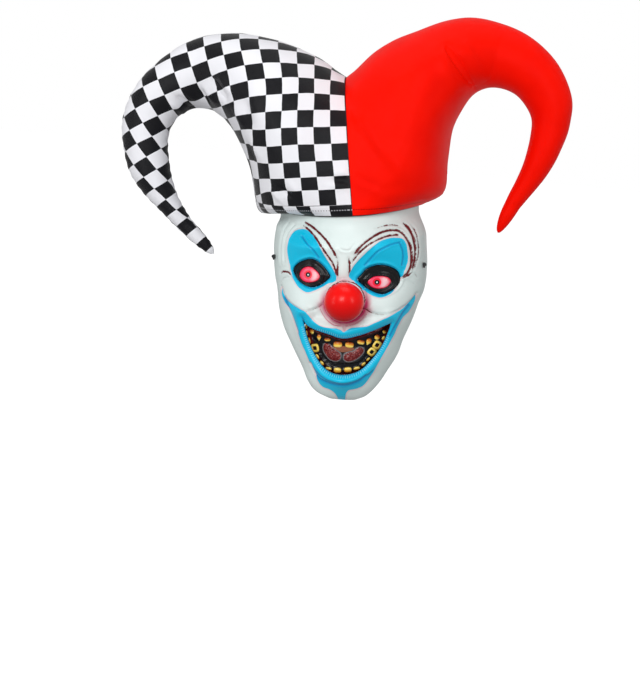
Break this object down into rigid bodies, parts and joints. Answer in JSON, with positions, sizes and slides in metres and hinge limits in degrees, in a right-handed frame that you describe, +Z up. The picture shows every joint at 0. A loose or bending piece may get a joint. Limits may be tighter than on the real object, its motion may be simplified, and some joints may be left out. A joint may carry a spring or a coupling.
{
  "type": "jester mask",
  "caption": "Moulded clown face mask under an attached two-horned jester hat, one horn checked and one plain, held on by an elastic cord.",
  "frame": {"origin": "middle of the head opening, level with the hat's hem", "axes": "+Z up along the face, -Y the way the face looks, +X the right of a front view; the hat leans 8 degrees towards -X"},
  "size_m": [0.5044, 0.2488, 0.4334],
  "materials": {
    "face_plastic": "moulded, pale blue white with airbrushed blue and dark red",
    "black_gloss": "glossy black paint",
    "eye_pink": "glossy pink and red paint",
    "red_gloss": "glossy red",
    "tooth_yellow": "glossy yellow with brown roots",
    "tongue_red": "wet dark red",
    "check_satin": "satin printed with black and white squares",
    "red_satin": "red satin over foam",
    "black_satin": "black binding",
    "black_elastic": "braided round elastic"
  },
  "bodies": {
    "root": {"face_shell": "face_plastic", "eye_lid_left": "black_gloss", "eye_lid_right": "black_gloss", "eyeball_left": "eye_pink", "eyeball_right": "eye_pink", "nose": "red_gloss", "mouth_plate": "black_gloss", "upper_teeth": "tooth_yellow", "lower_teeth": "tooth_yellow", "tongue": "tongue_red", "hat_left": "check_satin", "hat_right": "red_satin", "hem_binding": "black_satin", "elastic_cord": "black_elastic", "knot_left": "black_elastic", "knot_right": "black_elastic"}
  },
  "joints": []
}
